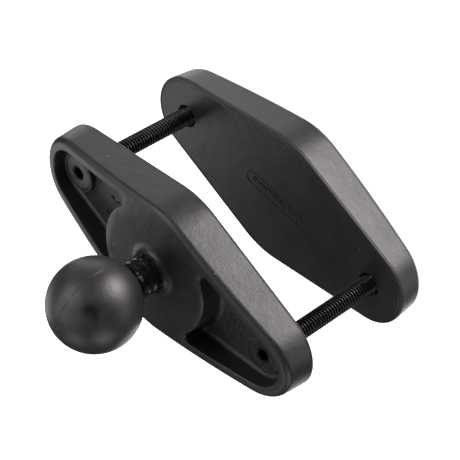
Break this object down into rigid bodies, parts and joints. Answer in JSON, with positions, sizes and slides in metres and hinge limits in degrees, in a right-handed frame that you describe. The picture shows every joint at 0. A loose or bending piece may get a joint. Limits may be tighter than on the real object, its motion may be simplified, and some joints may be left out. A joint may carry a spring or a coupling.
{
  "type": "post clamp with ball mount",
  "caption": "Post clamp of paired diamond-shaped cast plates drawn together by long socket screws, with a rubber-covered ball on a short neck.",
  "frame": {"origin": "middle of the base: below the ball, on the plane that the back plate's outer land rests on", "axes": "+Z along the screws and the ball's neck, from the back plate to the ball; +X along the plates from one screw to the other; +Y across the plates"},
  "size_m": [0.146, 0.065, 0.1346],
  "materials": {
    "powder_coated_casting": "satin black powder coat on cast aluminium",
    "black_oxide_steel": "black oxide, lightly oiled",
    "zinc_plated_steel": "bright zinc plate",
    "nylon": "natural nylon",
    "moulded_rubber": "matte moulded rubber",
    "gloss_black_neck": "gloss black coat"
  },
  "bodies": {
    "front": {"front_plate": "powder_coated_casting", "ball_core": "gloss_black_neck", "ball_cover": "moulded_rubber", "ball_bolt": "black_oxide_steel", "lock_washer": "black_oxide_steel"},
    "screw_left": {"clamp_screw_left": "black_oxide_steel"},
    "screw_right": {"clamp_screw_right": "black_oxide_steel"},
    "back": {"back_plate": "powder_coated_casting", "lock_nut_left": "zinc_plated_steel", "lock_nut_right": "zinc_plated_steel", "nylon_ring_left": "nylon", "nylon_ring_right": "nylon"}
  },
  "joints": [
    {"name": "screw_left_turn", "type": "hinge", "parent": "front", "child": "screw_left", "pos_m": [-0.0555, 0, 0.0775], "axis": [0, 0, -1], "range_deg": [0, 12240]},
    {"name": "screw_right_turn", "type": "hinge", "parent": "front", "child": "screw_right", "pos_m": [0.0555, 0, 0.0775], "axis": [0, 0, -1], "range_deg": [0, 12240]},
    {"name": "jaw_close", "type": "slide", "parent": "front", "child": "back", "axis": [0, 0, 1], "range_m": [0, 0.04797]}
  ],
  "couplings": [
    {"joint": "screw_left_turn", "follows": "jaw_close", "rad_per_m": 4453},
    {"joint": "screw_right_turn", "follows": "jaw_close", "rad_per_m": 4453}
  ]
}
